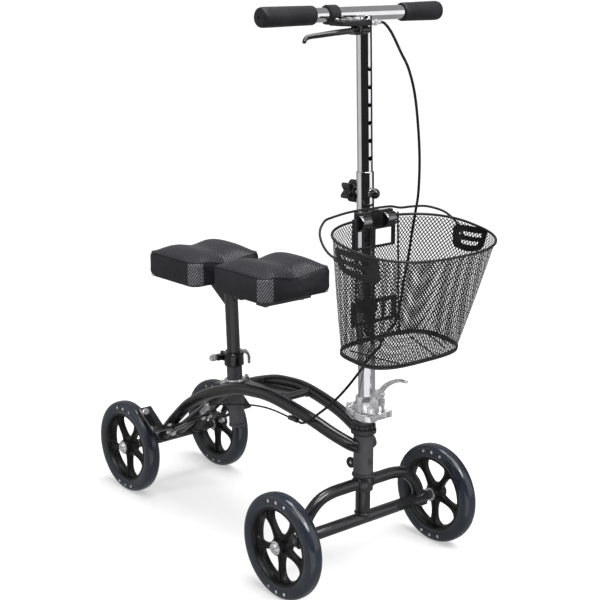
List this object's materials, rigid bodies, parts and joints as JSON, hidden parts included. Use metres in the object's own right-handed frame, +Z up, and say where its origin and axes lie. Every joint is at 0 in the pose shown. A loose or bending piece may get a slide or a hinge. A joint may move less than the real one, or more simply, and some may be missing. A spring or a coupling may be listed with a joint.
{
  "type": "knee scooter",
  "caption": "Steerable knee walker with padded split knee rest, folding T handlebar column, rear brake and front wire mesh basket.",
  "frame": {"origin": "bottom centre of the bounding box, on the floor plane between the wheels", "axes": "+X forward along the direction of travel, +Y to the rider's left, +Z up along the handlebar column"},
  "size_m": [0.9544, 0.4564, 1.0599],
  "materials": {
    "frame_paint": "satin black paint",
    "black_steel": "black painted steel",
    "black_plastic": "black moulded plastic",
    "black_rubber": "matte black rubber",
    "black_foam": "black closed-cell foam",
    "black_vinyl": "black vinyl upholstery",
    "black_mesh": "black coated expanded mesh",
    "cable_jacket": "black cable jacket",
    "hub_plastic": "black moulded nylon",
    "tyre_urethane": "dark blue-grey polyurethane",
    "chrome_plate": "polished chrome",
    "zinc_plate": "zinc plated steel",
    "cast_aluminium": "cast, lightly polished"
  },
  "bodies": {
    "frame": {"arch_tube_left": "frame_paint", "arch_tube_right": "frame_paint", "head_tube": "frame_paint", "rear_axle_tube": "frame_paint", "rear_axle_bolt_left": "zinc_plate", "rear_axle_bolt_right": "zinc_plate", "seat_sleeve": "frame_paint", "center_brace": "frame_paint", "gusset_plate": "frame_paint", "cross_bar": "frame_paint", "seat_ring": "zinc_plate", "seat_clamp_collar": "frame_paint", "headset_upper_cup": "black_steel", "headset_lower_cup": "black_steel", "frame_bumper": "black_plastic", "cable_stop": "black_steel", "brake_pivot_left": "zinc_plate", "brake_pivot_right": "zinc_plate", "brake_spring": "zinc_plate", "brake_wire": "cable_jacket"},
    "brake_arm_left": {"brake_arm_left": "black_steel", "brake_shoe_left": "black_rubber"},
    "brake_arm_right": {"brake_arm_right": "black_steel", "brake_shoe_right": "black_rubber"},
    "steering": {"front_axle_tube": "frame_paint", "steerer_tube": "frame_paint", "front_arch": "frame_paint", "front_axle_bolt_left": "zinc_plate", "front_axle_bolt_right": "zinc_plate", "stem_clamp_base": "cast_aluminium"},
    "stem": {"stem_knuckle": "cast_aluminium", "stem_outer_tube": "chrome_plate", "basket_shell": "black_mesh", "basket_bracket": "black_plastic", "basket_spacer": "black_plastic", "brake_cable_lower": "cable_jacket"},
    "stem_lock_lever": {"stem_lock_lever": "zinc_plate"},
    "star_knob": {"star_knob": "black_plastic"},
    "pull_pin": {"pull_pin": "black_plastic"},
    "basket_bail": {"basket_bail": "black_steel"},
    "handlebar": {"stem_inner_tube": "chrome_plate", "handlebar_bar": "chrome_plate", "grip_right": "black_foam", "grip_left": "black_foam", "lever_housing": "black_plastic", "brake_cable_upper": "cable_jacket"},
    "brake_lever": {"brake_lever": "black_steel"},
    "seat": {"seat_post": "frame_paint", "seat_carrier": "black_steel", "front_pad": "black_vinyl", "rear_pad": "black_vinyl"},
    "seat_clamp_lever": {"seat_clamp_lever": "zinc_plate"},
    "front_wheel_left": {"front_wheel_left_tyre": "tyre_urethane", "front_wheel_left_hub": "hub_plastic"},
    "front_wheel_right": {"front_wheel_right_tyre": "tyre_urethane", "front_wheel_right_hub": "hub_plastic"},
    "rear_wheel_left": {"rear_wheel_left_tyre": "tyre_urethane", "rear_wheel_left_hub": "hub_plastic"},
    "rear_wheel_right": {"rear_wheel_right_tyre": "tyre_urethane", "rear_wheel_right_hub": "hub_plastic"}
  },
  "joints": [
    {"name": "steering_turn", "type": "hinge", "parent": "frame", "child": "steering", "pos_m": [0.24177, 0.00675, 0.23], "axis": [0, 0, 1], "range_deg": [-45, 45]},
    {"name": "stem_fold", "type": "hinge", "parent": "steering", "child": "stem", "pos_m": [0.21477, 0.00675, 0.317], "axis": [0, -1, 0], "range_deg": [0, 28], "deforming": ["brake_cable_lower"]},
    {"name": "stem_lock_turn", "type": "hinge", "parent": "stem", "child": "stem_lock_lever", "pos_m": [0.28276, 0.00675, 0.358], "axis": [0, -1, 0], "range_deg": [0, 50]},
    {"name": "handlebar_height", "type": "slide", "parent": "stem", "child": "handlebar", "axis": [-0.0284, 0, 0.9996], "range_m": [-0.2, 0], "deforming": ["brake_cable_upper"]},
    {"name": "brake_lever_pull", "type": "hinge", "parent": "handlebar", "child": "brake_lever", "pos_m": [0.26177, -0.03825, 1.0175], "axis": [0, 0, -1], "range_deg": [0, 20], "stiffness_Nm_per_rad": 1.5, "springref_deg": -5.73},
    {"name": "brake_arm_left_turn", "type": "hinge", "parent": "frame", "child": "brake_arm_left", "pos_m": [-0.28998, 0.07275, 0.14358], "axis": [-0.6691, 0, 0.7431], "range_deg": [0, 1.5]},
    {"name": "brake_arm_right_turn", "type": "hinge", "parent": "frame", "child": "brake_arm_right", "pos_m": [-0.28998, -0.05925, 0.14358], "axis": [0.6691, 0, -0.7431], "range_deg": [0, 1.5], "deforming": ["brake_wire", "brake_spring"]},
    {"name": "seat_height", "type": "slide", "parent": "frame", "child": "seat", "axis": [-0.0525, 0, 0.9986], "range_m": [-0.075, 0]},
    {"name": "seat_clamp_turn", "type": "hinge", "parent": "frame", "child": "seat_clamp_lever", "pos_m": [-0.18374, 0.04325, 0.327], "axis": [0, 0, 1], "range_deg": [0, 100]},
    {"name": "star_knob_turn", "type": "hinge", "parent": "stem", "child": "star_knob", "pos_m": [0.23878, 0.00675, 0.72684], "axis": [-0.9996, 0, -0.0284], "range_deg": [0, 360]},
    {"name": "pull_pin_slide", "type": "slide", "parent": "stem", "child": "pull_pin", "axis": [0.9996, 0, 0.0284], "range_m": [0, 0.008], "stiffness_N_per_m": 800, "springref_m": -0.003},
    {"name": "basket_bail_swing", "type": "hinge", "parent": "stem", "child": "basket_bail", "pos_m": [0.33676, 0.00675, 0.645], "axis": [0, 1, 0], "range_deg": [0, 60]},
    {"name": "front_wheel_left_spin", "type": "hinge", "parent": "steering", "child": "front_wheel_left", "pos_m": [0.24177, 0.20525, 0.1], "axis": [0, 1, 0], "continuous": true},
    {"name": "front_wheel_right_spin", "type": "hinge", "parent": "steering", "child": "front_wheel_right", "pos_m": [0.24177, -0.19175, 0.1], "axis": [0, 1, 0], "continuous": true},
    {"name": "rear_wheel_left_spin", "type": "hinge", "parent": "frame", "child": "rear_wheel_left", "pos_m": [-0.37723, 0.12675, 0.1], "axis": [0, 1, 0], "continuous": true},
    {"name": "rear_wheel_right_spin", "type": "hinge", "parent": "frame", "child": "rear_wheel_right", "pos_m": [-0.37723, -0.11325, 0.1], "axis": [0, 1, 0], "continuous": true}
  ],
  "couplings": [
    {"joint": "brake_arm_left_turn", "follows": "brake_lever_pull", "ratio": 0.075},
    {"joint": "brake_arm_right_turn", "follows": "brake_lever_pull", "ratio": 0.075}
  ]
}
